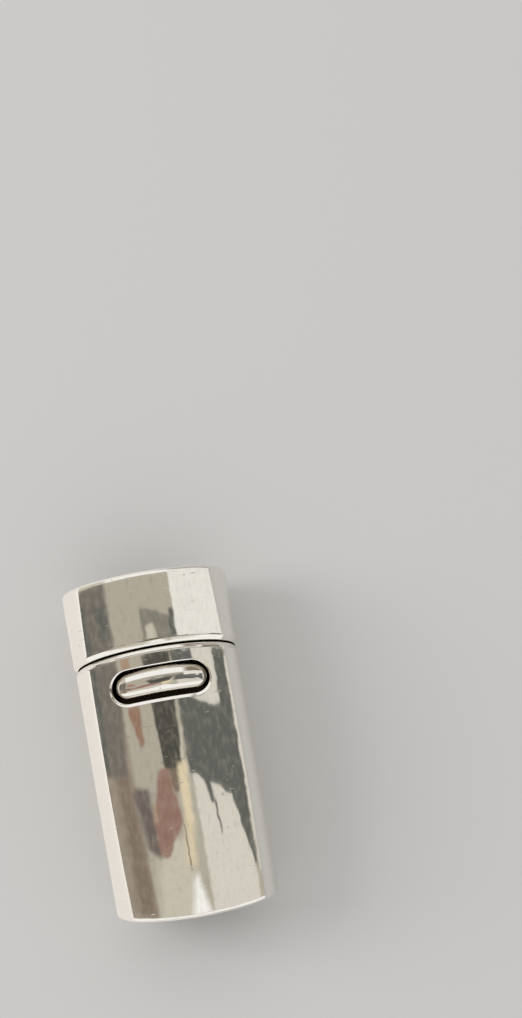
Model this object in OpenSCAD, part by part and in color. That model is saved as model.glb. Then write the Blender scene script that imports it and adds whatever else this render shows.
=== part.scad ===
// Magnetic clasp for flat oval leather cord.
// A long sleeve and a short cap meet at a seam. The cap's tongue reaches into the sleeve, and the bump on
// the tongue snaps up into the sleeve's window. Both halves are bent to one arch, to lie round a wrist.
// The clasp lies on its back: X runs across it, Y along it towards the cap, and Z up to the front.

/* [Arch] */
// Radius of the front crown line, along the clasp
arch_radius = 44; // [38:1:80]
// Length of the sleeve along its front crown
sleeve_len = 22.7; // [21:0.1:28]
// Length of the cap along its front crown
cap_len = 6.5; // [5.7:0.1:9]
// Gap at the seam between the two halves
seam_gap = 0.16; // [0.1:0.02:0.3]
// Angle by which the cap's end face stands straighter than the arch there
cap_end_slant = 11; // [0:0.5:13]

/* [Section] */
// Width of the sleeve
body_w = 13.5; // [13:0.1:15]
// Thickness of the sleeve from front to back
body_t = 8.8; // [8.4:0.1:10]
// Amount by which the cap stands proud of the sleeve at the front and sides
cap_proud = 0.1; // [0:0.05:0.3]
// Depth of the flat along the back, on which the clasp lies
back_flat = 0.2; // [0.1:0.05:0.3]
// Wall of the sleeve round the tongue
pocket_wall = 0.8; // [0.6:0.05:0.9]

/* [Cord sockets] */
// Width of the hole for the cord
socket_w = 10.6; // [9.5:0.1:11]
// Thickness of the hole for the cord
socket_t = 6.4; // [5.6:0.1:6.6]
// Depth of the cord hole in the sleeve
sleeve_socket_len = 13; // [8:0.5:13.5]
// Depth of the cord hole in the cap
cap_socket_len = 4.3; // [3:0.1:4.6]

/* [Window and bump] */
// Width of the bridge of metal between the seam and the window
window_bridge = 1.5; // [1.4:0.05:1.8]
// Width of the window across the clasp
window_w = 8.1; // [7.6:0.1:8.6]
// Height of the window along the clasp
window_h = 2.8; // [2.6:0.1:3.2]
// Gap between the bump and the window's edge near the cap
bump_near_gap = 0.28; // [0.24:0.01:0.4]
// Length of the bump across the clasp
bump_w = 7.5; // [6:0.1:7.6]
// Size of the bump along the clasp
bump_h = 2; // [1.8:0.05:2.1]
// Radius of the bump's domed top, seen from its end
bump_dome_r = 1.3; // [1.1:0.05:2]
// Depth of the bump's top below the sleeve's front
bump_sink = 0.05; // [0:0.05:0.3]

/* [Tongue] */
// Reach of the tongue into the sleeve, from the seam
tongue_len = 5.2; // [4.6:0.1:5.4]
// Width of the tongue
tongue_w = 8; // [7:0.1:8.4]
// Depth of the tongue's underside below the sleeve's front crown
tongue_depth = 4.4; // [3.8:0.1:4.6]
// Gap between the tongue's front and the sleeve's wall
tongue_gap = 0.2; // [0.15:0.05:0.3]

/* [Magnets] */
// Width of each magnet
magnet_w = 6; // [4:0.1:6.4]
// Size of each magnet from front to back
magnet_t = 2; // [1.4:0.1:2.2]
// Thickness of each magnet along the clasp
magnet_len = 1.5; // [1:0.1:1.8]
// Glue gap round each magnet
magnet_fit = 0.05; // [0.04:0.01:0.1]
// Gap between the two magnets when the clasp is shut
magnet_gap = 0.35; // [0.3:0.05:0.8]

/* [Hidden] */

plating = "silver";
magnet_grey = "dimgray";
round_fn = 128;
arch_fn = 360;
// How far a cut runs past the face it opens
overrun = 1;
// How far the tongue's root reaches into the cap
root = 0.6;
// Half width of the bump's stem, as a share of its dome's radius
stem_share = 0.95;

cap_w = body_w + 2 * cap_proud;
cap_t = body_t + 2 * cap_proud;
pocket_w = body_w - 2 * pocket_wall;
pocket_t = body_t - 2 * pocket_wall;
pocket_len = tongue_len + magnet_gap;
mid_radius = arch_radius - body_t / 2;
front = body_t / 2;
back = front - back_flat;
back_radius = mid_radius - back;
tongue_back = front - tongue_depth;
tongue_front = pocket_t / 2 - tongue_gap;
tongue_mid = (tongue_front + tongue_back) / 2;
bump_mid = window_bridge + bump_near_gap + bump_h / 2;
window_mid = window_bridge + window_h / 2;

// Angles along the arch, in degrees: the lowest edges, at the backs of the two ends, are level
function turn(len) = len / arch_radius * 180 / PI;
end_chord = arch_radius * sin(cap_end_slant);
end_depth = arch_radius * cos(cap_end_slant) - sqrt(back_radius * back_radius - end_chord * end_chord);
// Angle by which the cap reaches further along its back than along its crown
cap_back_turn = asin(end_depth * sin(cap_end_slant) / back_radius);
clasp_turn = turn(sleeve_len + seam_gap + cap_len);
sleeve_end = -(clasp_turn + cap_back_turn) / 2;
sleeve_seam = sleeve_end + turn(sleeve_len);
cap_seam = sleeve_seam + turn(seam_gap);
cap_end = cap_seam + turn(cap_len);
// Angle at which the cap's sweep stops, past its slanted end face
cap_sweep_end = cap_end + cap_back_turn + turn(overrun);
// Angles of the faces of the magnets that lie towards the cap
sleeve_magnet_turn = sleeve_seam - turn(pocket_len);
tongue_magnet_turn = sleeve_seam - turn(tongue_len - magnet_len);
// Height of the lowest edges above the arch's centre
floor_low = back_radius * cos(sleeve_end);
// Middle between the two ends of the crown line
crown_mid = arch_radius * (sin(sleeve_end) + sin(cap_end)) / 2;

// Oval section: x points to the front, y across the clasp
module oval(w, t) {
    scale([t / w, 1]) circle(d = w, $fn = round_fn);
}

// Outside of a half: the oval with the flat along its back
module outside(w, t) {
    intersection() {
        oval(w, t);
        translate([-back, -w / 2]) square([back + t, w]);
    }
}

// Bar with round ends: x along the clasp, y across it
module stadium(len, w) {
    square([len, w - len], center = true);
    for (side = [-1, 1])
        translate([0, side * (w - len) / 2]) circle(d = len, $fn = round_fn);
}

// Turns the arch's own frame into the clasp's and sets it down on the floor
module on_floor() {
    translate([0, -crown_mid, -floor_low]) rotate([0, -90, 0]) children();
}

// Sweeps a section along the arch between two angles
module along_arch(from, to) {
    rotate_extrude(angle = to - from, start = from, $fn = arch_fn) translate([mid_radius, 0]) children();
}

// Stands a solid on the section at an angle: x to the front, y across, z towards the sleeve's end
module at_turn(turned) {
    rotate([0, 0, turned]) rotate([90, 0, 0]) translate([mid_radius, 0, 0]) children();
}

// Column on an outline, from inside the pocket out through the front
module front_column(turned, height) {
    at_turn(turned) rotate([0, 90, 0]) linear_extrude(height = height) children();
}

// Block for a magnet, or for its pocket: a gap round it, and more before and behind it
module magnet_block(turned, gap = 0, before = 0, behind = 0) {
    at_turn(turned)
        translate([tongue_mid, 0, (magnet_len + behind - before) / 2])
            cube([magnet_t + 2 * gap, magnet_w + 2 * gap, magnet_len + before + behind], center = true);
}

// All that lies past the cap's slanted end face, which turns about its crown
module past_cap_end() {
    at_turn(cap_end)
        translate([front, 0, 0])
            rotate([0, -cap_end_slant, 0])
                translate([-2 * body_t, -body_w, -2 * body_t]) cube([3 * body_t, 2 * body_w, 2 * body_t]);
}

module sleeve() {
    color(plating)
        on_floor()
            difference() {
                along_arch(sleeve_end, sleeve_seam) outside(body_w, body_t);
                along_arch(sleeve_seam - turn(pocket_len), sleeve_seam + turn(overrun))
                    oval(pocket_w, pocket_t);
                along_arch(sleeve_end - turn(overrun), sleeve_end + turn(sleeve_socket_len))
                    oval(socket_w, socket_t);
                front_column(sleeve_seam - turn(window_mid), front + overrun) stadium(window_h, window_w);
                magnet_block(sleeve_magnet_turn, gap = magnet_fit, before = overrun, behind = magnet_fit);
            }
}

module cap_half() {
    color(plating)
        on_floor() {
            difference() {
                along_arch(cap_seam, cap_sweep_end) outside(cap_w, cap_t);
                past_cap_end();
                along_arch(cap_end - turn(cap_socket_len), cap_sweep_end + turn(overrun))
                    oval(socket_w, socket_t);
            }
            difference() {
                union() {
                    tongue();
                    bump();
                }
                magnet_block(tongue_magnet_turn, gap = magnet_fit, before = magnet_fit, behind = overrun);
            }
        }
}

// Tongue: the front part of the pocket's oval, less its gap
module tongue() {
    along_arch(sleeve_seam - turn(tongue_len), cap_seam + turn(root))
        intersection() {
            oval(pocket_w - 2 * tongue_gap, pocket_t - 2 * tongue_gap);
            translate([tongue_back, -tongue_w / 2]) square([body_t, tongue_w]);
        }
}

// Bump: a round-ended bar whose domed top follows the curve of the sleeve's front
module bump() {
    crown_r = body_w * body_w / (2 * body_t);
    dome_mid = crown_r - bump_sink - bump_dome_r;
    reach = asin(bump_w / 2 / dome_mid);
    stem = stem_share * bump_dome_r;
    intersection() {
        front_column(sleeve_seam - turn(bump_mid), front + overrun) stadium(bump_h, bump_w);
        at_turn(sleeve_seam - turn(bump_mid))
            translate([front - crown_r, 0, 0])
                rotate_extrude(angle = 2 * reach, start = -reach, $fn = arch_fn)
                    union() {
                        translate([dome_mid, 0]) circle(r = bump_dome_r, $fn = round_fn);
                        translate([dome_mid - tongue_depth, -stem]) square([tongue_depth, 2 * stem]);
                    }
    }
}

module sleeve_magnet() {
    color(magnet_grey) on_floor() magnet_block(sleeve_magnet_turn);
}

module tongue_magnet() {
    color(magnet_grey) on_floor() magnet_block(tongue_magnet_turn);
}

sleeve();
cap_half();
sleeve_magnet();
tongue_magnet();
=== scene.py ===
"""Arched magnetic clasp for flat oval leather cord, in mirror-plated metal."""

import math

import bmesh
import bpy
from bpy.props import FloatProperty, FloatVectorProperty, PointerProperty
from mathutils import Matrix, Vector


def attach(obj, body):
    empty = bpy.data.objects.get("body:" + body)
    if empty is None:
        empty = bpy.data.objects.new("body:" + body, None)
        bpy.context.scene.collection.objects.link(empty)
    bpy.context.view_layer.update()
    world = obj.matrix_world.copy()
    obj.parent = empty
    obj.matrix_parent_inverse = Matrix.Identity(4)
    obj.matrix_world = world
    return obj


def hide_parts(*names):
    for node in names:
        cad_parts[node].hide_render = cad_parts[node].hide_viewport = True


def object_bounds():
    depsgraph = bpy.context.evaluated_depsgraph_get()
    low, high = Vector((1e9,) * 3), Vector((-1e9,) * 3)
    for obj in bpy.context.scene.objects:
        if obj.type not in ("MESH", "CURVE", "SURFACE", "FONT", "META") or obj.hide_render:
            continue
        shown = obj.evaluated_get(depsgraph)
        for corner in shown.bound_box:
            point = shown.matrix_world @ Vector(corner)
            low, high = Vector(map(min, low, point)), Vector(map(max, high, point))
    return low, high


bl_info = {
    "name": "Magnetic cord clasp",
    "version": (1, 0, 0),
    "blender": (4, 5, 0),
    "location": "View3D > Sidebar > Clasp",
    "description": "Builds the two plated halves of an arched magnetic clasp and its studio",
    "category": "Add Mesh",
}

MM = 0.001
TINY = 1e-6
WELD = 0.001 * MM
# Points round each ring of a half, and those from the crown to each side of the field that is left for the window
AROUND, FIELD = 192, 27
# Material slots of both halves; the cast slot's near-black colour is painted shade
POLISHED, SHADED_CAST, BORED = 0, 1, 2
# Share of a rim's inset that is left at the back's flat
BACK_SHARE = 0.3
# Spacing of the rings: outside, along the tongue, in the pocket and the cap's cord hole, in the sleeve's cord hole
FINE, TONGUE_STEP, POCKET_STEP, SOCKET_STEP = 0.2 * MM, 0.25 * MM, 0.5 * MM, 0.6 * MM
# How far a wall's last ring stays from a hole's floor, the floor's corner, the tongue's tip, the flare at its root
FLOOR_CLEAR, FLOOR_CORNER, TIP_ROUND, ROOT_FLARE = 0.3 * MM, 0.08 * MM, 0.2 * MM, 0.1 * MM
# Powers by which softest() rounds corners: the tongue's and a recess's
TONGUE_POWER, RECESS_POWER = 14, 40
# Where rings lie on the front between the window's field, 1, and its rim, 0
FIELD_SHARES = (0.84, 0.68, 0.53, 0.4, 0.28, 0.18, 0.1, 0.04)
# Places in a colour mix node: its share, its two colours and its result
MIX_SHARE, MIX_ONE, MIX_OTHER, MIX_RESULT = 0, 6, 7, 2
# Size of the picture in pixels, its scale, and where the middle of the clasp lies in it
PICTURE, PIXELS_PER_MM, CLASP_PIXEL = (522, 1018), 12.13, (171.9, 747)
# Camera's sensor in millimetres, and its clipping, the floor's half side and the lamp in metres and watts
SENSOR, CLIP, FLOOR_REACH = 36, (0.01, 10), 2
LAMP_SIDES, LAMP_POWER, LAMP_PLACE = (0.25, 0.35), 0.9, (-0.45, 0.12, 0.28)

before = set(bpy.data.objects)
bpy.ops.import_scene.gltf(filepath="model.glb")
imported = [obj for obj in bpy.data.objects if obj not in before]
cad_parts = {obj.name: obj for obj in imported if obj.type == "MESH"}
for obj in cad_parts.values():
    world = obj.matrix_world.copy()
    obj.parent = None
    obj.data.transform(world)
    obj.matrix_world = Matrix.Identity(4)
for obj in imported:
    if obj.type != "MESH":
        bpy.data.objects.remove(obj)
CAD_BOX = [list(corner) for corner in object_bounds()]


def length(name, words, millimetres):
    """A length property, given in millimetres."""
    return FloatProperty(name=name, description=words, default=millimetres * MM, unit="LENGTH", precision=5)


def angle(name, words, degrees):
    """An angle property, given in degrees."""
    return FloatProperty(name=name, description=words, default=math.radians(degrees), unit="ROTATION")


def colour(name, words, rgb):
    """A colour property."""
    return FloatVectorProperty(name=name, description=words, subtype="COLOR", size=3, default=rgb)


class ClaspSizes(bpy.types.PropertyGroup):
    """Sizes of the two halves and their magnets"""

    arch_radius: length("Arch radius", "Radius of the front crown line along the clasp", 44)
    sleeve_len: length("Sleeve length", "Length of the sleeve along its front crown", 22.7)
    cap_len: length("Cap length", "Length of the cap along its front crown", 6.5)
    seam_gap: length("Seam gap", "Gap between the two halves", 0.16)
    cap_end_slant: angle("Cap end slant", "Angle by which the cap's end face stands straighter than the arch", 11)
    body_w: length("Width", "Width of the sleeve", 13.5)
    body_t: length("Thickness", "Thickness of the sleeve from front to back", 8.8)
    cap_proud: length("Cap proud", "How far the cap stands proud of the sleeve", 0.1)
    back_flat: length("Back flat", "Depth of the flat along the back", 0.2)
    pocket_wall: length("Pocket wall", "Wall of the sleeve round the tongue", 0.8)
    socket_w: length("Socket width", "Width of the cord hole", 10.6)
    socket_t: length("Socket thickness", "Thickness of the cord hole", 6.4)
    sleeve_socket_len: length("Sleeve socket", "Depth of the cord hole in the sleeve", 13)
    cap_socket_len: length("Cap socket", "Depth of the cord hole in the cap", 4.3)
    window_bridge: length("Bridge", "Metal between the seam and the window", 1.5)
    window_w: length("Window width", "Window across the clasp", 8.1)
    window_h: length("Window height", "Window along the clasp", 2.8)
    bump_near_gap: length("Bump gap", "Gap between the bump and the window's edge near the cap", 0.28)
    bump_w: length("Bump width", "Bump across the clasp", 7.5)
    bump_h: length("Bump height", "Bump along the clasp", 2)
    bump_dome_r: length("Bump dome", "Radius of the bump's domed top", 1.3)
    bump_sink: length("Bump sink", "Depth of the bump's top below the front", 0.05)
    tongue_len: length("Tongue length", "Reach of the tongue into the sleeve", 5.2)
    tongue_w: length("Tongue width", "Width of the tongue", 8)
    tongue_depth: length("Tongue depth", "Depth of the tongue's underside below the front", 4.4)
    tongue_gap: length("Tongue gap", "Gap between the tongue's front and the sleeve", 0.2)
    magnet_w: length("Magnet width", "Width of each magnet", 6)
    magnet_t: length("Magnet thickness", "Size of each magnet from front to back", 2)
    magnet_len: length("Magnet length", "Size of each magnet along the clasp", 1.5)
    magnet_fit: length("Magnet fit", "Glue gap round each magnet", 0.05)
    magnet_gap: length("Magnet gap", "Gap between the two magnets", 0.35)


class ClaspRims(bpy.types.PropertyGroup):
    """Roundings of the polished edges"""

    sleeve_seam: length("Sleeve seam bevel", "Bevel of the sleeve's edge at the seam", 0.26)
    sleeve_end: length("Sleeve end bevel", "Bevel of the sleeve's outer rim", 0.07)
    cap_lip: length("Cap lip bevel", "Bevel of the cap's edge at the seam", 0.34)
    cap_end: length("Cap end bevel", "Bevel of the cap's outer rim", 0.12)
    corner: length("Bevel corner", "Rounding on both sides of each bevel", 0.1)
    bevel_lean: angle("Bevel lean", "Angle by which the bevels fall away from the front", 33)
    inner: length("Inner rim", "Rounding of the edges of the pocket and cord holes", 0.15)
    window: length("Window rim", "Mean rounding of the window's edge", 0.2)
    window_far: length("Far window rim", "How much rounder the window's edge is on its far side", 0.12)
    window_left: length("Left window rim", "How much rounder the window's edge is at its left", 0.05)
    left_lean: angle("Left window lean", "How much steeper the window's bevel is at its left", 17)
    bump: length("Bump rim", "Rounding round the bump's top", 0.08)
    bump_near: length("Bump near side", "How far the polished bump swells towards the cap", 0.2)
    bump_fade: length("Bump fade", "How far from the middle the swell towards the cap reaches", 3.2)
    bump_aside: length("Bump aside", "How far the polished bump sits to the right in its window", 0.06)
    bump_ends: length("Bump ends", "How far the polished bump swells at each end", 0.08)
    magnet: length("Magnet edge", "Rounding of the magnets' edges", 0.12)


class ClaspFinish(bpy.types.PropertyGroup):
    """Colours and wear of the metals"""

    plating: colour("Plating", "Colour of the plating", (0.86, 0.83, 0.79))
    # The cast colour is near black: painted shade in the pocket, on the tongue and on the window wall, over unpolished
    # metal.
    cast: colour("Cast metal", "Colour of the unpolished inside", (0.03, 0.024, 0.018))
    bore: colour("Bore", "Colour of the cord holes", (0.52, 0.49, 0.45))
    magnet: colour("Magnet", "Colour of the magnets' skin", (0.34, 0.34, 0.35))
    gloss: FloatProperty(name="Polish", description="Roughness of the polish", subtype="FACTOR", default=0.04)
    ripple: length("Ripple", "Height of the slow waves in the polish", 0.004)
    scratch: length("Scratch depth", "Depth of the fine scratches", 0.0012)


class ClaspStudio(bpy.types.PropertyGroup):
    """Floor, light and camera"""

    floor: colour("Floor", "Colour of the floor", (0.8, 0.79, 0.77))
    pitch: angle("Pitch", "Lean of the camera from straight down", 5.5)
    roll: angle("Roll", "Turn of the picture about the view", 9.8)
    distance: length("Distance", "Distance from the clasp to the camera", 620)


class Arch:
    """The clasp's arch: the angles of its edges and the places of its sections."""

    def __init__(self, sizes):
        self.radius = sizes.arch_radius
        self.mid = sizes.arch_radius - sizes.body_t / 2
        self.back = sizes.body_t / 2 - sizes.back_flat
        self.slant = sizes.cap_end_slant
        self.pocket = (sizes.body_w - 2 * sizes.pocket_wall, sizes.body_t - 2 * sizes.pocket_wall)
        self.tongue_mid = (self.pocket[1] / 2 - sizes.tongue_gap + sizes.body_t / 2 - sizes.tongue_depth) / 2
        back_radius = self.mid - self.back
        clasp_turn = self.turn(sizes.sleeve_len + sizes.seam_gap + sizes.cap_len)
        self.sleeve_end = -(clasp_turn + self.lean(back_radius)) / 2
        self.sleeve_seam = self.sleeve_end + self.turn(sizes.sleeve_len)
        self.cap_seam = self.sleeve_seam + self.turn(sizes.seam_gap)
        self.cap_end = self.cap_seam + self.turn(sizes.cap_len)
        self.low = back_radius * math.cos(self.sleeve_end)
        self.middle = self.radius * (math.sin(self.sleeve_end) + math.sin(self.cap_end)) / 2

    def turn(self, along):
        """Angle of a length along the front crown."""
        return along / self.radius

    def lean(self, reach):
        """Angle by which the cap's slanted end face lies further along, at a distance from the arch's centre."""
        chord = self.radius * math.sin(self.slant)
        depth = self.radius * math.cos(self.slant) - math.sqrt(reach**2 - chord**2)
        return math.asin(depth * math.sin(self.slant) / reach)

    def at(self, turned, out, across):
        """A point at an angle along the arch, out from the section's middle and across the clasp."""
        reach = self.mid + out
        return Vector((across, reach * math.sin(turned) - self.middle, reach * math.cos(turned) - self.low))

    def steps(self, start, stop, size):
        """Angles from start to stop, about size apart on the middle line, both ends included."""
        count = max(1, math.ceil(abs(stop - start) / (size / self.mid)))
        return [start + (stop - start) * i / count for i in range(count + 1)]

    def ring(self, turned, outline, share):
        """The points of an outline, each (out, across), at an angle, with a share of the cap end's lean."""
        return [self.at(turned + share * self.lean(self.mid + p[0]), p[0], p[1]) for p in outline]


def oval(width, thick, inset=0.0, back=None):
    """Outline of an oval from its back round to its back, as (out, across), with a flat at the back if asked."""
    outline = []
    for i in range(AROUND):
        angle = 2 * math.pi * i / AROUND - math.pi
        out, across = thick / 2 * math.cos(angle), width / 2 * math.sin(angle)
        # On the side that has the flat, a rim's inset eases down to what the flat can spare.
        ease = 0.0 if back is None else (1 - BACK_SHARE) * max(0.0, -math.cos(angle)) ** 2
        inward = (1 - ease) * inset
        lean = Vector((math.cos(angle) / thick, math.sin(angle) / width)).normalized() * inward
        out, across = out - lean[0], across - lean[1]
        if back is not None:
            out = max(out, inward - back)
        outline.append((out, across))
    return outline


def rays(outline, centre, reach):
    """Outline with a point towards each of another outline's points, as far as reach says for that direction."""
    made = []
    for out, across in outline:
        way = Vector((out - centre, across)).normalized()
        far = reach(way)
        made.append((centre + way[0] * far, way[1] * far))
    return made


def softest(limits, power):
    """The least of some distances, with the corners between them rounded: less, the higher the power."""
    return sum(x**-power for x in limits) ** (-1 / power)


def recess_outline(sizes, around, centre):
    """Outline of a magnet's recess, with a point towards each point of the outline around it."""
    half_t, half_w = sizes.magnet_t / 2 + sizes.magnet_fit, sizes.magnet_w / 2 + sizes.magnet_fit

    def reach(way):
        return softest([half_t / max(abs(way[0]), TINY), half_w / max(abs(way[1]), TINY)], RECESS_POWER)

    return rays(around, centre, reach)


def tongue_reach(sizes, centre, inset):
    """Distance to the tongue's edge, by direction: an oval front, straight sides and a flat back."""
    half_t = sizes.body_t / 2 - sizes.pocket_wall - sizes.tongue_gap - inset
    half_w = sizes.body_w / 2 - sizes.pocket_wall - sizes.tongue_gap - inset
    side = sizes.tongue_w / 2 - inset
    back = centre - (sizes.body_t / 2 - sizes.tongue_depth) - inset

    def reach(way):
        a = (way[0] / half_t) ** 2 + (way[1] / half_w) ** 2
        b = centre * way[0] / half_t**2
        c = (centre / half_t) ** 2 - 1
        limits = [(math.sqrt(b * b - a * c) - b) / a, side / max(abs(way[1]), TINY)]
        if way[0] < -TINY:
            limits.append(back / -way[0])
        return softest(limits, TONGUE_POWER)

    return reach


def crown_height(width, thick, across):
    """Height of an oval's front above its middle."""
    return thick / 2 * math.sqrt(max(0.0, 1 - (2 * across / width) ** 2))


# Angles through a quarter turn, for rounded mouths and tips
QUARTER = [math.radians(15 * i) for i in range(7)]


def bevel(flat, corner, lean):
    """Section of a bevelled edge, as pairs of how far towards the end face and how deep below the outside."""
    section = [(corner * math.sin(lean * i / 4), corner * (1 - math.cos(lean * i / 4))) for i in range(5)]
    far, deep = section[-1][0] + flat * math.cos(lean), section[-1][1] + flat * math.sin(lean)
    for i in range(6):
        angle = lean + (math.pi / 2 - lean) * i / 5
        section.append(
            (far + corner * (math.sin(angle) - math.sin(lean)), deep + corner * (math.cos(lean) - math.cos(angle)))
        )
    return section


def bridge(mesh, one, other, skip=(), finish=POLISHED):
    """Faces between two rings, but for the places to skip."""
    for i in range(len(one)):
        if i not in skip:
            k = (i + 1) % len(one)
            mesh.faces.new((one[i], one[k], other[k], other[i])).material_index = finish


def fan(mesh, ring, point, finish):
    """Faces between a ring and a point that closes it."""
    middle = mesh.verts.new(point)
    for i, vert in enumerate(ring):
        mesh.faces.new((vert, ring[(i + 1) % len(ring)], middle)).material_index = finish


class Skin:
    """A closed skin of rings with the same count of points: cast up to one ring, bored from another one on."""

    def __init__(self, arch):
        self.arch = arch
        self.mesh = bmesh.new()
        self.rings = []
        self.open = {}
        self.dull = 0
        self.bore = 0

    def add(self, outline, *turns, share=0.0):
        """Puts on a ring of an outline at each of some angles, with a share of the cap end's lean."""
        for turned in turns:
            self.rings.append([self.mesh.verts.new(p) for p in self.arch.ring(turned, outline, share)])

    def close(self):
        """Joins the rings in turn and closes both ends."""
        for n, (one, other) in enumerate(zip(self.rings, self.rings[1:])):
            finish = SHADED_CAST if n < self.dull else BORED if n >= self.bore else POLISHED
            bridge(self.mesh, one, other, self.open.get(n, ()), finish)
        for ring, finish in ((self.rings[0], SHADED_CAST), (self.rings[-1], BORED)):
            fan(self.mesh, ring, sum((v.co for v in ring), Vector()) / len(ring), finish)

    def open_front(self, first, last):
        """Leaves a field of the front open between two rings, and gives the points round it."""
        left, right = AROUND // 2 - FIELD, AROUND // 2 + FIELD
        for n in range(first, last):
            self.open[n] = set(range(left, right))
        edge = [self.rings[first][i] for i in range(left, right)]
        edge += [self.rings[n][right] for n in range(first, last)]
        edge += [self.rings[last][i] for i in range(right, left, -1)]
        edge += [self.rings[n][left] for n in range(last, first, -1)]
        return edge


def piece(name, mesh, body, nodes, materials):
    """Makes an object of a mesh, smooth, riding on its body in the place of its CAD nodes."""
    loose = [v for v in mesh.verts if not v.link_faces]
    bmesh.ops.delete(mesh, geom=loose, context="VERTS")
    bmesh.ops.recalc_face_normals(mesh, faces=mesh.faces)
    data = bpy.data.meshes.new(name)
    mesh.to_mesh(data)
    mesh.free()
    data.shade_smooth()
    made = bpy.data.objects.new(name, data)
    bpy.context.scene.collection.objects.link(made)
    for material in materials:
        data.materials.append(material)
    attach(made, body)
    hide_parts(*nodes)


def add_rim(skin, width, thick, face, way, section, leaving, share=0.0):
    """Rings of a bevelled rim between an end face and the outside. way is +1 where the face looks to the cap's side."""
    for far, deep in section if leaving else reversed(section):
        turned = face - way * (section[-1][0] - far) / skin.arch.mid
        skin.add(oval(width, thick, deep, skin.arch.back), turned, share=share)


def add_mouth(skin, width, thick, face, way, radius, leaving, share=0.0):
    """Rings of a hole's rounded mouth in an end face."""
    for angle in QUARTER if leaving else reversed(QUARTER):
        inset = -radius * (1 - math.sin(angle))
        turned = face - way * radius * (1 - math.cos(angle)) / skin.arch.mid
        skin.add(oval(width, thick, inset), turned, share=share)


def add_floor(skin, width, thick, turned, way, leaving):
    """Rings of a hole's floor with a small rounded corner, way as for the mouth."""
    corner = [(FLOOR_CORNER, 0.0), (0.0, FLOOR_CORNER)]
    for inset, up in corner if leaving else reversed(corner):
        skin.add(oval(width, thick, inset), turned + way * up / skin.arch.mid)


def stadium_rays(edge, arch, middle, seg):
    """For each point of an edge round the window: its medial point across, its way and its distance."""
    made = []
    for vert in edge:
        y, z = vert.co.y + arch.middle, vert.co.z + arch.low
        along = (math.atan2(y, z) - middle) * arch.radius
        across = vert.co.x
        heart = max(-seg, min(seg, across))
        way = Vector((along, across - heart))
        made.append((heart, way.normalized(), way.length))
    return made


def add_window(skin, arch, sizes, rims, outer_edge, inner_edge, middle):
    """Joins the open fields of the outside and of the pocket by the window's rounded wall."""
    half = sizes.window_h / 2
    seg = sizes.window_w / 2 - half
    spokes = stadium_rays(outer_edge, arch, middle, seg)
    inner_spokes = stadium_rays(inner_edge, arch, middle, seg)

    def row(place):
        verts = []
        for spoke, inner in zip(spokes, inner_spokes):
            along, across, out = place(spoke, inner)
            verts.append(skin.mesh.verts.new(arch.at(middle + along / arch.radius, out, across)))
        return verts

    def outside(across):
        return crown_height(sizes.body_w, sizes.body_t, across)

    def inside(across):
        return crown_height(*arch.pocket, across)

    def rim(way):
        return rims.window - rims.window_far * way[0] - rims.window_left * way[1]

    def on_outside(share):
        def place(spoke, _):
            heart, way, far = spoke
            reach = half + rim(way) + (far - half - rim(way)) * share
            across = heart + way[1] * reach
            return way[0] * reach, across, outside(across)

        return place

    def on_rim(flat_point, steep_point):
        def place(spoke, _):
            heart, way, _ = spoke
            share = max(0.0, -way[1])
            far, deep = (a + (b - a) * share for a, b in zip(flat_point, steep_point))
            reach = half + rim(way) * (1 - far)
            across = heart + way[1] * reach
            return way[0] * reach, across, outside(across) - rim(way) * deep

        return place

    def on_inner_rim(angle):
        def place(spoke, _):
            heart, way, _ = spoke
            reach = half + rims.inner * (1 - math.sin(angle))
            across = heart + way[1] * reach
            return way[0] * reach, across, inside(across) + rims.inner * (1 - math.cos(angle))

        return place

    def on_inside(share):
        def place(spoke, inner):
            start = half + rims.inner
            begin = (spoke[1][0] * start, spoke[0] + spoke[1][1] * start)
            end = (inner[1][0] * inner[2], inner[0] + inner[1][1] * inner[2])
            along, across = (a + (b - a) * share for a, b in zip(begin, end))
            return along, across, inside(across)

        return place

    sections = []
    for lean in (rims.bevel_lean, rims.bevel_lean + rims.left_lean):
        section = bevel(rims.sleeve_seam, rims.corner, lean)
        wide = section[-1][0]
        sections.append([(far / wide, deep / wide) for far, deep in section])
    rows = [outer_edge]
    rows += [row(on_outside(share)) for share in FIELD_SHARES]
    rows += [row(on_rim(*points)) for points in zip(*sections)]
    rows += [row(on_inner_rim(angle)) for angle in reversed(QUARTER)]
    bright = len(rows)
    rows += [row(on_inside(share)) for share in (0.33, 0.66)]
    rows += [inner_edge]
    for n, (one, other) in enumerate(zip(rows, rows[1:])):
        bridge(skin.mesh, one, other, finish=SHADED_CAST if n >= bright - 1 else POLISHED)


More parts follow.
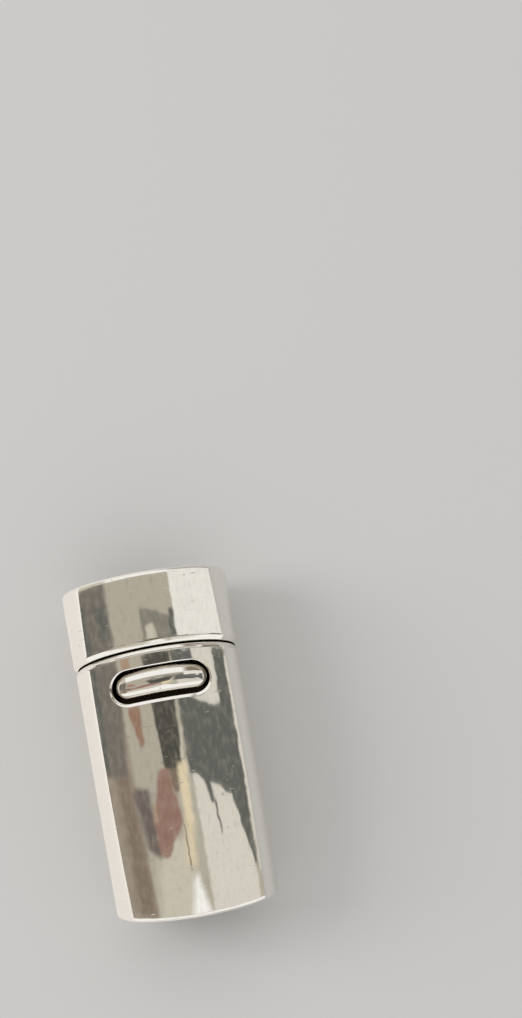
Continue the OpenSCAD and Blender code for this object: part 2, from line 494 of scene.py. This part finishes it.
def build_sleeve(sizes, rims):
    """Mesh of the sleeve: magnet recess, tongue pocket, seam rim, outside, end rim and cord hole."""
    arch = Arch(sizes)
    skin = Skin(arch)
    pocket = oval(*arch.pocket)
    outside = oval(sizes.body_w, sizes.body_t, 0, arch.back)
    socket = oval(sizes.socket_w, sizes.socket_t)
    window_mid = arch.sleeve_seam - arch.turn(sizes.window_bridge + sizes.window_h / 2)
    # The field that is left open for the window stops 0.35 mm short of the seam.
    margin = arch.turn(sizes.window_h / 2 + sizes.window_bridge - 0.35 * MM)
    near, far = window_mid + margin, window_mid - margin
    floor = arch.sleeve_seam - arch.turn(sizes.tongue_len + sizes.magnet_gap)
    recess = recess_outline(sizes, pocket, arch.tongue_mid)
    skin.add(recess, floor - (sizes.magnet_len + sizes.magnet_fit) / arch.mid, floor)
    add_floor(skin, *arch.pocket, floor, 1, True)
    skin.add(pocket, *arch.steps(floor + FLOOR_CLEAR / arch.mid, far, POCKET_STEP)[:-1])
    inner_first = len(skin.rings)
    skin.add(pocket, *arch.steps(far, near, FINE))
    inner_last = len(skin.rings) - 1
    skin.dull = len(skin.rings)
    add_mouth(skin, *arch.pocket, arch.sleeve_seam, 1, rims.inner, False)
    seam_rim = bevel(rims.sleeve_seam, rims.corner, rims.bevel_lean)
    add_rim(skin, sizes.body_w, sizes.body_t, arch.sleeve_seam, 1, seam_rim, False)
    outer_first = len(skin.rings)
    skin.add(outside, *arch.steps(near, far, FINE))
    outer_last = len(skin.rings) - 1
    end_rim = bevel(rims.sleeve_end, rims.corner, rims.bevel_lean)
    last = arch.sleeve_end + end_rim[-1][0] / arch.mid
    skin.add(outside, *arch.steps(far, last, FINE)[1:-1])
    add_rim(skin, sizes.body_w, sizes.body_t, arch.sleeve_end, -1, end_rim, True)
    add_mouth(skin, sizes.socket_w, sizes.socket_t, arch.sleeve_end, -1, rims.inner, True)
    skin.bore = len(skin.rings) - 1
    socket_floor = arch.sleeve_end + arch.turn(sizes.sleeve_socket_len)
    start = arch.sleeve_end + rims.inner / arch.mid
    skin.add(socket, *arch.steps(start, socket_floor - FLOOR_CLEAR / arch.mid, SOCKET_STEP)[1:])
    add_floor(skin, sizes.socket_w, sizes.socket_t, socket_floor, -1, False)
    inner_edge = skin.open_front(inner_first, inner_last)
    outer_edge = skin.open_front(outer_first, outer_last)
    skin.close()
    inner_edge = turned_edge(inner_edge, outer_edge)
    add_window(skin, arch, sizes, rims, outer_edge, inner_edge, window_mid)
    return skin.mesh


def turned_edge(edge, like):
    """The same edge, started and run the way of another one, so that their points pair up."""
    near, every = 1.2 * MM, 8
    best = None
    for run in (edge, edge[::-1]):
        for start in range(len(run)):
            if abs(run[start].co.y - like[0].co.y) + abs(run[start].co.x - like[0].co.x) > near:
                continue
            order = run[start:] + run[:start]
            cost = sum((a.co - b.co).length for a, b in zip(order[::every], like[::every]))
            if best is None or cost < best[0]:
                best = (cost, order)
    return best[1]


def build_cap(sizes, rims):
    """Mesh of the cap: magnet recess, tongue, seam face with its lip, outside, end rim and cord hole."""
    arch = Arch(sizes)
    skin = Skin(arch)
    cap_w, cap_t = sizes.body_w + 2 * sizes.cap_proud, sizes.body_t + 2 * sizes.cap_proud
    around = oval(sizes.body_w, sizes.body_t)

    def tongue(inset):
        return rays(around, arch.tongue_mid, tongue_reach(sizes, arch.tongue_mid, inset))

    recess = recess_outline(sizes, around, arch.tongue_mid)
    tip = arch.sleeve_seam - arch.turn(sizes.tongue_len)
    skin.add(recess, tip + (sizes.magnet_len + sizes.magnet_fit) / arch.mid, tip)
    for angle in reversed(QUARTER):
        turned = tip + TIP_ROUND * (1 - math.cos(angle)) / arch.mid
        skin.add(tongue(TIP_ROUND * (1 - math.sin(angle))), turned)
    last = arch.cap_seam - ROOT_FLARE / arch.mid
    skin.add(tongue(0), *arch.steps(tip + TIP_ROUND / arch.mid, last, TONGUE_STEP)[1:])
    skin.add(tongue(-ROOT_FLARE), arch.cap_seam)
    skin.dull = len(skin.rings)
    lip = bevel(rims.cap_lip, rims.corner, rims.bevel_lean)
    end_rim = bevel(rims.cap_end, rims.corner, rims.bevel_lean)
    add_rim(skin, cap_w, cap_t, arch.cap_seam, -1, lip, False)
    first = arch.cap_seam + lip[-1][0] / arch.mid
    last = arch.cap_end - end_rim[-1][0] / arch.mid
    for turned in arch.steps(first, last, FINE)[1:-1]:
        skin.add(oval(cap_w, cap_t, 0, arch.back), turned, share=(turned - first) / (last - first))
    add_rim(skin, cap_w, cap_t, arch.cap_end, 1, end_rim, True, 1.0)
    add_mouth(skin, sizes.socket_w, sizes.socket_t, arch.cap_end, 1, rims.inner, True, 1.0)
    skin.bore = len(skin.rings) - 1
    socket_floor = arch.cap_end - arch.turn(sizes.cap_socket_len)
    start = arch.cap_end - rims.inner / arch.mid
    last = socket_floor + FLOOR_CLEAR / arch.mid
    for turned in arch.steps(start, last, POCKET_STEP)[1:]:
        skin.add(oval(sizes.socket_w, sizes.socket_t), turned, share=(turned - last) / (start - last))
    add_floor(skin, sizes.socket_w, sizes.socket_t, socket_floor, 1, False)
    skin.close()
    add_bump(skin.mesh, arch, sizes, rims)
    return skin.mesh


def add_bump(mesh, arch, sizes, rims):
    """The bump on the tongue: a round-ended bar with a domed top and a rounded rim."""
    middle = arch.sleeve_seam - arch.turn(sizes.window_bridge + sizes.bump_near_gap + sizes.bump_h / 2)
    half, dome, rim = sizes.bump_h / 2, sizes.bump_dome_r, rims.bump
    seg = sizes.bump_w / 2 - half + rims.bump_ends
    flank = (half - rim) / (1 - rim / dome)
    lean = math.asin(flank / dome)
    # The section from the top out and down, as (reach, drop): the dome, the rounded rim and the flank's foot
    profile = [(reach, dome - math.sqrt(dome**2 - reach**2)) for reach in (flank * k / 12 for k in range(13))]
    drop = profile[-1][1]
    for k in range(1, 7):
        angle = lean + (math.pi / 2 - lean) * k / 6
        profile.append((half - rim + rim * math.sin(angle), drop + rim * (math.cos(lean) - math.cos(angle))))
    profile.append((half, sizes.pocket_wall + 0.5 * MM))
    spokes = []
    straight, bend = 28, 32
    for side in (1, -1):
        spokes += [(side * (seg * (2 * k / straight - 1)), 0.0, side) for k in range(straight)]
        for k in range(bend):
            angle = math.pi * k / bend
            spokes.append((side * seg, side * math.sin(angle), side * math.cos(angle)))
    rows = []
    for reach, drop in profile:
        row = []
        for heart, way_across, way_along in spokes:
            across = heart + way_across * reach + rims.bump_aside
            # The swell towards the cap fades out at the ends, where the front lies lower under the tilt's axis.
            fade = max(0.0, 1 - (across / rims.bump_fade) ** 2)
            along = way_along * reach + max(0.0, way_along) ** 2 * fade * rims.bump_near * reach / half
            out = crown_height(sizes.body_w, sizes.body_t, across) - sizes.bump_sink - drop
            row.append(mesh.verts.new(arch.at(middle + along / arch.radius, out, across)))
        rows.append(row)
    for one, other in zip(rows, rows[1:]):
        bridge(mesh, one, other)
    # The foot is closed well inside the tongue.
    fan(mesh, rows[-1], arch.at(middle, crown_height(sizes.body_w, sizes.body_t, 0) - 2 * MM, 0), SHADED_CAST)
    bmesh.ops.remove_doubles(mesh, verts=rows[0], dist=WELD)


def build_magnet(node, edge):
    """Mesh of a magnet: its CAD block with rounded edges."""
    mesh = bmesh.new()
    mesh.from_mesh(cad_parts[node].data)
    bmesh.ops.remove_doubles(mesh, verts=mesh.verts, dist=WELD)
    bmesh.ops.dissolve_limit(mesh, angle_limit=math.radians(5), verts=mesh.verts, edges=mesh.edges)
    bmesh.ops.bevel(mesh, geom=mesh.edges, offset=edge, segments=3, profile=0.5, affect="EDGES")
    return mesh


class Graph:
    """Short ways to add and join nodes in one tree."""

    def __init__(self, tree):
        self.tree = tree

    def node(self, kind, settings=None, *values, **inputs):
        """Adds a node, with its settings, and its inputs by place or by name."""
        made = self.tree.nodes.new(kind)
        for key, value in (settings or {}).items():
            setattr(made, key, value)
        for key, value in (*enumerate(values), *inputs.items()):
            self.feed(made, key, value)
        return made

    def feed(self, node, key, value):
        """Sets or joins one input, by its place or by its name, in which _ stands for a space."""
        socket = node.inputs[key.replace("_", " ") if isinstance(key, str) else key]
        if isinstance(value, bpy.types.NodeSocket):
            self.tree.links.new(value, socket)
        else:
            socket.default_value = value

    def math(self, operation, *values, clamp=False):
        """A math node's result."""
        return self.node("ShaderNodeMath", {"operation": operation, "use_clamp": clamp}, *values).outputs[0]

    def vector(self, operation, *values):
        """A vector math node."""
        return self.node("ShaderNodeVectorMath", {"operation": operation}, *values)

    def mix(self, share, one, other):
        """A colour between two."""
        made = self.node("ShaderNodeMix", {"data_type": "RGBA"})
        for place, value in ((MIX_SHARE, share), (MIX_ONE, one), (MIX_OTHER, other)):
            self.feed(made, place, value)
        return made.outputs[MIX_RESULT]

    def noise(self, place, scale, detail, dimensions="3D"):
        """A noise texture node."""
        settings = {"noise_dimensions": dimensions}
        return self.node("ShaderNodeTexNoise", settings, Vector=place, Scale=scale, Detail=detail)


def blank(owner):
    """A graph in the emptied nodes of a new material or world."""
    owner.use_nodes = True
    owner.node_tree.nodes.clear()
    return Graph(owner.node_tree)


def group(name, sockets_in, sockets_out):
    """An empty node group with named inputs and outputs, as (tree, its graph, input node, output node)."""
    tree = bpy.data.node_groups.new(name, "ShaderNodeTree")
    for label, kind, default in sockets_in:
        tree.interface.new_socket(label, in_out="INPUT", socket_type=kind).default_value = default
    for label, kind in sockets_out:
        tree.interface.new_socket(label, in_out="OUTPUT", socket_type=kind)
    return tree, Graph(tree), tree.nodes.new("NodeGroupInput"), tree.nodes.new("NodeGroupOutput")


# Polish wear: noise scales per metre, each set of scratches by its turn in radians and its noise's start, the levels
# from which a scratch shows and a cell has a pit, the spread of the fine tone, and the tone of worn metal
RIPPLE_SCALE, GRAIN_SCALE, PIT_SCALE, SCRATCH_SCALE = 330.0, 2600.0, 850.0, (700.0, 5200.0, 700.0)
SCRATCH_SETS = ((0.5, 0.0), (-1.1, 3.0), (1.35, 7.0))
SCRATCH_LEVEL, PIT_LEVEL, TONE_SPREAD, WORN = 0.73, 0.78, (0.93, 1.05), (0.42, 0.39, 0.35, 1)


def polish_group():
    """Fine wear of polished plating: slow ripples, hairline scratches and pits."""
    number, tint = "NodeSocketFloat", "NodeSocketColor"
    tree, g, given, out = group(
        "Polish wear",
        [
            ("Colour", tint, (0.8, 0.8, 0.8, 1)),
            ("Roughness", number, 0.05),
            ("Ripple", number, 0.000004),
            ("Scratch", number, 0.000001),
            ("Pits", number, 0.5),
        ],
        [("Colour", tint), ("Roughness", number), ("Height", number)],
    )
    place = g.node("ShaderNodeTexCoord").outputs["Object"]
    ripple = g.noise(place, RIPPLE_SCALE, 2.0)
    fine = g.noise(place, GRAIN_SCALE, 2.0)
    streaks = []
    for turn, start in SCRATCH_SETS:
        values = {"Location": (start, start, 0), "Rotation": (0, 0, turn), "Scale": SCRATCH_SCALE}
        laid = g.node("ShaderNodeMapping", Vector=place, **values).outputs[0]
        line = g.math("SUBTRACT", g.noise(laid, 1.0, 1.0).outputs[0], SCRATCH_LEVEL)
        streaks.append(g.math("MULTIPLY", line, 12.0, clamp=True))
    lines = g.math("MAXIMUM", g.math("MAXIMUM", streaks[0], streaks[1]), streaks[2])
    cells = g.node("ShaderNodeTexVoronoi", {"feature": "F1"}, Vector=place, Scale=PIT_SCALE)
    draw = g.node("ShaderNodeSeparateColor", Color=cells.outputs["Color"]).outputs[0]
    chance = g.math("GREATER_THAN", draw, PIT_LEVEL)
    dot = g.math("MULTIPLY_ADD", cells.outputs["Distance"], -9.0, 1.2, clamp=True)
    pits = g.math("MULTIPLY", g.math("MULTIPLY", dot, chance), given.outputs["Pits"])
    marks = g.math("MAXIMUM", g.math("MULTIPLY", lines, 0.5), pits)
    darker = g.node("ShaderNodeMix", {"data_type": "RGBA", "blend_type": "MULTIPLY"})
    tone = g.node("ShaderNodeMapRange", Value=fine.outputs[0], To_Min=TONE_SPREAD[0], To_Max=TONE_SPREAD[1]).outputs[0]
    grey = g.node("ShaderNodeCombineColor", Red=tone, Green=tone, Blue=tone).outputs[0]
    for socket, value in ((MIX_SHARE, 0.55), (MIX_ONE, given.outputs["Colour"]), (MIX_OTHER, grey)):
        g.feed(darker, socket, value)
    worn = g.mix(g.math("MULTIPLY", marks, 0.35), darker.outputs[MIX_RESULT], WORN)
    g.feed(out, "Colour", worn)
    rough = g.math("MULTIPLY_ADD", marks, 0.55, given.outputs["Roughness"])
    g.feed(out, "Roughness", g.math("MULTIPLY_ADD", fine.outputs[0], 0.02, rough))
    wave = g.math("MULTIPLY", ripple.outputs[0], given.outputs["Ripple"])
    cut = g.math("MULTIPLY", marks, given.outputs["Scratch"])
    g.feed(out, "Height", g.math("SUBTRACT", wave, cut))
    return tree


def metal(name, rgb, wear, roughness, ripple, scratch, pits):
    """A metal with the polish wear on it."""
    material = bpy.data.materials.new(name)
    g = blank(material)
    values = {"Colour": (*rgb, 1), "Roughness": roughness, "Ripple": ripple, "Scratch": scratch, "Pits": pits}
    worn = g.node("ShaderNodeGroup", {"node_tree": wear}, **values).outputs
    relief = g.node("ShaderNodeBump", Height=worn["Height"], Distance=1.0).outputs[0]
    looks = {"Base Color": worn["Colour"], "Roughness": worn["Roughness"], "Metallic": 1.0, "Normal": relief}
    shader = g.node("ShaderNodeBsdfPrincipled", **looks)
    g.node("ShaderNodeOutputMaterial", Surface=shader.outputs[0])
    return material


def floor_material(rgb):
    """Plain matt floor with a painted glow for glossy rays: the metal mirrors it brighter at the left and the ends, and
    at the right darker, as painted shade.
    """
    material = bpy.data.materials.new("pale_floor")
    g = blank(material)
    matt = g.node("ShaderNodeBsdfDiffuse", Color=(*rgb, 1))
    place = g.node("ShaderNodeSeparateXYZ", Vector=g.node("ShaderNodeNewGeometry").outputs["Position"])
    # The painted glow ends over a millimetre, from 6.5 mm right of the clasp's middle; beyond it lies painted shade.
    right = g.math("MULTIPLY_ADD", place.outputs[0], 1 / MM, -6.5, clamp=True)
    painted_glow = g.node("ShaderNodeEmission", Color=g.mix(right, (0.3, 0.28, 0.25, 1), (0, 0, 0, 1)))
    lit = g.node("ShaderNodeAddShader", None, matt.outputs[0], painted_glow.outputs[0])
    glossy = g.node("ShaderNodeLightPath").outputs["Is Glossy Ray"]
    seen = g.node("ShaderNodeMixShader", None, glossy, matt.outputs[0], lit.outputs[0])
    g.node("ShaderNodeOutputMaterial", Surface=seen.outputs[0])
    return material


TONES = {
    "glare": (1.08, 1.09, 1.07),
    "white": (0.93, 0.93, 0.89),
    "pearl": (0.78, 0.76, 0.69),
    "cream": (0.66, 0.63, 0.53),
    "stone": (0.5, 0.47, 0.39),
    "moss": (0.5, 0.49, 0.41),
    "tan": (0.36, 0.31, 0.25),
    "brown": (0.25, 0.2, 0.15),
    "fog": (0.26, 0.25, 0.21),
    "ash": (0.2, 0.18, 0.16),
    "mauve": (0.17, 0.14, 0.13),
    "slate": (0.13, 0.14, 0.13),
    "charcoal": (0.075, 0.075, 0.065),
    "peach": (0.45, 0.31, 0.22),
    "copper": (0.34, 0.2, 0.14),
    "rust": (0.33, 0.2, 0.16),
    "straw": (0.85, 0.74, 0.52),
}

# Studio cards, by where the front mirrors them towards the camera, in millimetres along from the seam and across
# the clasp: tone, low and high end, left and right side at the low end, the same at the high end, softness
CARDS = (
    ("tan", -32, 32, -8, 8, -8, 8, 0.5),
    ("glare", -32, -22.9, -8, 8, -8, 8, 0.3),
    ("cream", 7, 32, -8, -3.2, -8, -3.2, 0.6),
    ("glare", 7, 32, -3.2, 2.2, -3.2, 2.2, 0.5),
    ("brown", 8.5, 32, 2.2, 8, 2.2, 8, 0.6),
    ("stone", -22.9, 7, -3.5, 5.6, -3.5, 5.6, 0.3),
    ("ash", -0.2, 7, -5.75, -3.3, -5.75, -3.3, 0.35),
    ("slate", 0, 5.6, -5.75, -5.1, -5.75, -5.2, 0.25),
    ("slate", 1.8, 5, -4.1, -3.5, -4.5, -3.6, 0.6),
    ("fog", -0.2, 2.8, -0.8, 1.95, -0.8, 1.95, 0.3),
    ("fog", 2.6, 3.7, -0.8, 1.7, -0.7, 0.2, 0.2),
    ("cream", 0.4, 2.3, -0.5, 0.35, -0.45, 0.15, 0.2),
    ("slate", 0.6, 3.4, 1.45, 1.95, 1.6, 1.95, 0.15),
    ("white", -0.2, 8.5, 2, 5.7, 2, 5.7, 0.1),
    ("ash", -10.3, -0.2, -5.75, -3.9, -5.75, -3.3, 0.35),
    ("slate", -9.5, -0.2, -5.8, -5.3, -5.8, -5.1, 0.3),
    ("peach", -4.6, -0.2, -2.95, -2.2, -2.95, -2.3, 0.2),
    ("copper", -8, -4.6, -2.55, -2.2, -3.05, -2.1, 0.25),
    ("pearl", -22.9, -10.8, 1.25, 5.2, 1.25, 5.2, 0.2),
    ("moss", -19.5, -10.5, 0.7, 1.25, 0.65, 1.25, 0.25),
    ("slate", -10.9, -0.2, 1.1, 5.45, 1.2, 5.45, 0.2),
    ("slate", -13.2, -10.7, 4.1, 5.4, 1.3, 5.45, 0.15),
    ("slate", -19.7, -13.1, 5.2, 5.35, 4.15, 5.4, 0.15),
    ("charcoal", -10.3, -0.2, -0.85, 0.6, -1.2, 1.1, 0.15),
    ("brown", -12.2, -10.1, -0.3, 0.05, -0.9, 0.5, 0.2),
    ("cream", -10.2, -6.8, 0.6, 0.85, 0.95, 1.05, 0.1),
    ("pearl", -4.3, -0.2, 3.6, 4.55, 2.75, 4.6, 0.15),
    ("pearl", -5.3, -4.2, 3.9, 4.5, 1.9, 4.55, 0.15),
    ("slate", -13.6, -11.4, 2.5, 2.85, 2.1, 2.6, 0.2),
    ("slate", -16.5, -13.5, 2.8, 2.9, 2.7, 2.9, 0.1),
    ("tan", -22.4, -10.3, -5.8, -4.9, -5.8, -4.9, 0.35),
    ("brown", -22.4, -10.3, -4.9, -3.4, -4.9, -3.9, 0.55),
    ("cream", -22.9, -16.3, -3.2, 0.2, -2.4, 0.2, 0.9),
    ("mauve", -16.6, -11.6, -3.3, -2.2, -3.8, -2.5, 0.5),
    ("mauve", -17.5, -16.4, -2.8, -2.3, -3.25, -2.2, 0.4),
    ("rust", -14.9, -10.2, -2.45, -0.1, -1.5, -0.6, 0.25),
    ("rust", -17.4, -14.8, -2.4, -1.7, -2.45, -0.15, 0.25),
    ("peach", -14.6, -13, -2.5, -2.15, -2.3, -2.05, 0.25),
    ("straw", -15, -9.9, 0.1, 0.8, 0.15, 0.95, 0.35),
    ("straw", -18.6, -14.8, -0.3, 0.3, 0.1, 0.75, 0.7),
    ("brown", -18.9, -14.9, -0.14, -0.04, -0.08, 0, 0.06),
    ("glare", -22.9, -19.3, -0.5, 1, 0.05, 0.4, 0.6),
    ("pearl", -20.5, -0.9, 5.45, 5.8, 5.45, 5.8, 0.12),
    ("brown", -22.4, -9, -5.8, -5.62, -5.8, -5.62, 0.12),
)
CARD_SIDES = ("Low", "High", "Left low", "Right low", "Left high", "Right high")

# How far the cards' edges wander, in millimetres across and along, the stretch of the haze's grain, how the grain
# lifts the tone to stone or lowers it to ash, as (slope, offset), and the plain sky that the floor sees
WANDER, GRAIN_STRETCH, HAZE, SHADE = (0.36, 0.8), (2.6, 1.1, 1.0), (0.85, -0.38), (-0.9, 0.43)
SKY, SKY_STRENGTH = (0.8, 0.8, 0.8, 1), 0.75


def card_group():
    """Share of a soft-edged card at a place, with slanted sides."""
    number = "NodeSocketFloat"
    tree, g, given, out = group(
        "Soft card",
        [(label, number, 0.0) for label in ("Along", "Across", *CARD_SIDES, "Softness")],
        [("Share", number)],
    )
    along, across = given.outputs["Along"], given.outputs["Across"]
    low, high, *sides = (given.outputs[label] for label in CARD_SIDES)
    above = g.math("SUBTRACT", along, low)
    share = g.math("DIVIDE", above, g.math("SUBTRACT", high, low), clamp=True)
    left, right = (
        g.math("MULTIPLY_ADD", g.math("SUBTRACT", sides[n + 2], sides[n]), share, sides[n]) for n in range(2)
    )
    shares = []
    for one, other in (
        (above, g.math("SUBTRACT", high, along)),
        (g.math("SUBTRACT", across, left), g.math("SUBTRACT", right, across)),
    ):
        inside = g.math("MINIMUM", one, other)
        shares.append(g.math("ADD", g.math("DIVIDE", inside, given.outputs["Softness"]), 0.5, clamp=True))
    g.feed(out, "Share", g.math("MULTIPLY", *shares))
    return tree


def make_sky(towards_camera, sizes):
    """Studio surround: a plain soft sky for the floor, and light and dark cards that the metal mirrors."""
    world = bpy.data.worlds.new("studio_sky")
    bpy.context.scene.world = world
    g = blank(world)
    arch = Arch(sizes)
    way = g.node("ShaderNodeTexCoord").outputs["Generated"]
    half = g.vector("NORMALIZE", g.vector("ADD", way, tuple(towards_camera)).outputs[0]).outputs[0]
    parts = g.node("ShaderNodeSeparateXYZ", Vector=half)
    level = g.vector("LENGTH", g.vector("MULTIPLY", half, (0, 1, 1)).outputs[0]).outputs["Value"]
    level = g.math("MAXIMUM", level, 0.001)
    slope = g.math("MULTIPLY", g.math("DIVIDE", parts.outputs[0], level), sizes.body_w / sizes.body_t)
    steep = g.math("SQRT", g.math("MULTIPLY_ADD", slope, slope, 1.0))
    across = g.math("MULTIPLY", g.math("DIVIDE", slope, steep), sizes.body_w / 2 / MM)
    seam = math.sin(arch.sleeve_seam) * arch.radius / MM
    along = g.math("MULTIPLY_ADD", g.math("DIVIDE", parts.outputs[1], level), arch.radius / MM, -seam)
    place = g.node("ShaderNodeCombineXYZ", X=across, Y=along).outputs[0]
    shift = g.node("ShaderNodeSeparateColor", Color=g.noise(place, 0.9, 3.0, "2D").outputs["Color"])
    across, along = (
        g.math("ADD", value, g.math("MULTIPLY_ADD", shift.outputs[n], WANDER[n], -WANDER[n] / 2))
        for n, value in enumerate((across, along))
    )
    card = card_group()
    seen = (*TONES["stone"], 1)
    for tone, *sides, soft in CARDS:
        values = {"Along": along, "Across": across, "Softness": soft, **dict(zip(CARD_SIDES, sides))}
        shape = g.node("ShaderNodeGroup", {"node_tree": card}, **values)
        seen = g.mix(shape.outputs[0], seen, (*TONES[tone], 1))
    grain = g.noise(g.vector("MULTIPLY", place, GRAIN_STRETCH).outputs[0], 1.0, 6.0, "2D").outputs[0]
    for (slope, offset), tone in ((HAZE, "stone"), (SHADE, "ash")):
        share = g.math("MULTIPLY_ADD", grain, slope, offset, clamp=True)
        seen = g.mix(share, seen, (*TONES[tone], 1))
    mirrored = g.node("ShaderNodeBackground", Color=seen, Strength=1.0)
    plain = g.node("ShaderNodeBackground", Color=SKY, Strength=SKY_STRENGTH)
    glossy = g.node("ShaderNodeLightPath").outputs["Is Glossy Ray"]
    chosen = g.node("ShaderNodeMixShader", None, glossy, plain.outputs[0], mirrored.outputs[0])
    g.node("ShaderNodeOutputWorld", Surface=chosen.outputs[0])


def shared_wear():
    """The polish group, made once."""
    return bpy.data.node_groups.get("Polish wear") or polish_group()


def body_metals():
    """The polished, cast and bored metals of both halves, each made once."""
    finish = bpy.context.scene.clasp_finish
    metals = []
    for name, rgb, roughness, pits in (
        ("mirror_plating", finish.plating, finish.gloss, 0.6),
        # The dull cast metal's near-black colour is painted shade inside the halves.
        ("shaded_cast_metal", finish.cast, 0.55, 1.0),
        ("satin_bore_metal", finish.bore, 0.38, 1.0),
    ):
        made = bpy.data.materials.get(name)
        if made is None:
            made = metal(name, rgb, shared_wear(), roughness, finish.ripple, finish.scratch, pits)
        metals.append(made)
    return metals


class CLASP_OT_sleeve(bpy.types.Operator):
    """Build the long sleeve with its window"""

    bl_idname = "clasp.sleeve"
    bl_label = "Sleeve"

    def execute(self, context):
        mesh = build_sleeve(context.scene.clasp_sizes, context.scene.clasp_rims)
        piece("sleeve_shell", mesh, "sleeve_body", ["sleeve"], body_metals())
        return {"FINISHED"}


class CLASP_OT_cap(bpy.types.Operator):
    """Build the short cap with its tongue and bump"""

    bl_idname = "clasp.cap"
    bl_label = "Cap"

    def execute(self, context):
        mesh = build_cap(context.scene.clasp_sizes, context.scene.clasp_rims)
        piece("cap_shell", mesh, "cap_body", ["cap_half"], body_metals())
        return {"FINISHED"}


class CLASP_OT_magnets(bpy.types.Operator):
    """Build the two magnets"""

    bl_idname = "clasp.magnets"
    bl_label = "Magnets"

    def execute(self, context):
        finish = context.scene.clasp_finish
        skin = metal("magnet_skin", finish.magnet, shared_wear(), 0.32, finish.ripple, finish.scratch, 1.0)
        for node, body in (("sleeve_magnet", "sleeve_body"), ("tongue_magnet", "cap_body")):
            mesh = build_magnet(node, context.scene.clasp_rims.magnet)
            piece(node + "_block", mesh, body, [node], [skin])
        return {"FINISHED"}


class CLASP_OT_studio(bpy.types.Operator):
    """Lay the floor and set the light and the camera"""

    bl_idname = "clasp.studio"
    bl_label = "Studio"

    def execute(self, context):
        scene, studio = context.scene, context.scene.clasp_studio
        low, high = (Vector(corner) for corner in CAD_BOX)
        heart = (low + high) / 2
        towards = Vector((0, -math.sin(studio.pitch), math.cos(studio.pitch)))
        right = Matrix.Rotation(-studio.roll, 3, towards) @ Vector((1, 0, 0))
        up = towards.cross(right)
        # The camera looks past the clasp, at the picture's middle, and the clasp comes out at its own pixel.
        shift = [(size / 2 - pixel) / PIXELS_PER_MM * MM for size, pixel in zip(PICTURE, CLASP_PIXEL)]
        aim = heart + right * shift[0] - up * shift[1]
        place = heart + towards * studio.distance
        back = (place - aim).normalized()
        right = (right - back * right.dot(back)).normalized()
        up = back.cross(right)
        lens = bpy.data.cameras.new("camera")
        lens.sensor_fit = "VERTICAL"
        lens.sensor_height = SENSOR
        lens.lens = SENSOR * (place - aim).length / (PICTURE[1] / PIXELS_PER_MM * MM)
        lens.clip_start, lens.clip_end = CLIP
        camera = bpy.data.objects.new("camera", lens)
        camera.matrix_world = Matrix.Translation(place) @ Matrix((right, up, back)).transposed().to_4x4()
        scene.collection.objects.link(camera)
        scene.camera = camera
        ground = bmesh.new()
        ways = ((-1, -1), (1, -1), (1, 1), (-1, 1))
        ground.faces.new([ground.verts.new((x * FLOOR_REACH, y * FLOOR_REACH, 0)) for x, y in ways])
        data = bpy.data.meshes.new("floor")
        ground.to_mesh(data)
        ground.free()
        floor = bpy.data.objects.new("floor", data)
        floor.data.materials.append(floor_material(studio.floor))
        scene.collection.objects.link(floor)
        make_sky(towards, scene.clasp_sizes)
        lamp = bpy.data.lights.new("window_light", "AREA")
        lamp.shape, lamp.energy = "RECTANGLE", LAMP_POWER
        lamp.size, lamp.size_y = LAMP_SIDES
        light = bpy.data.objects.new("window_light", lamp)
        light.location = LAMP_PLACE
        light.rotation_euler = (heart - light.location).to_track_quat("-Z", "Y").to_euler()
        light.visible_glossy = False
        scene.collection.objects.link(light)
        scene.view_settings.view_transform = "Standard"
        return {"FINISHED"}


class CLASP_PT_panel(bpy.types.Panel):
    """Sizes, finishes and build buttons of the clasp"""

    bl_idname = "CLASP_PT_panel"
    bl_label = "Clasp"
    bl_space_type = "VIEW_3D"
    bl_region_type = "UI"
    bl_category = "Clasp"

    def draw(self, context):
        layout = self.layout
        for operator in OPERATORS:
            layout.operator(operator.bl_idname)
        for name in GROUPS:
            box = layout.box()
            settings = getattr(context.scene, name)
            for key in settings.__annotations__:
                box.prop(settings, key)


GROUPS = {
    "clasp_sizes": ClaspSizes,
    "clasp_rims": ClaspRims,
    "clasp_finish": ClaspFinish,
    "clasp_studio": ClaspStudio,
}
OPERATORS = (CLASP_OT_sleeve, CLASP_OT_cap, CLASP_OT_magnets, CLASP_OT_studio)
CLASSES = (*GROUPS.values(), *OPERATORS, CLASP_PT_panel)


def register():
    """Registers the classes and hangs the property groups on the scene."""
    for cls in CLASSES:
        bpy.utils.register_class(cls)
    for name, cls in GROUPS.items():
        setattr(bpy.types.Scene, name, PointerProperty(type=cls))


def unregister():
    """Takes back what register made."""
    for name in GROUPS:
        delattr(bpy.types.Scene, name)
    for cls in reversed(CLASSES):
        bpy.utils.unregister_class(cls)


def main():
    """Builds the clasp and its studio."""
    register()
    bpy.ops.clasp.sleeve()
    bpy.ops.clasp.cap()
    bpy.ops.clasp.magnets()
    bpy.ops.clasp.studio()


if __name__ == "__main__":
    main()
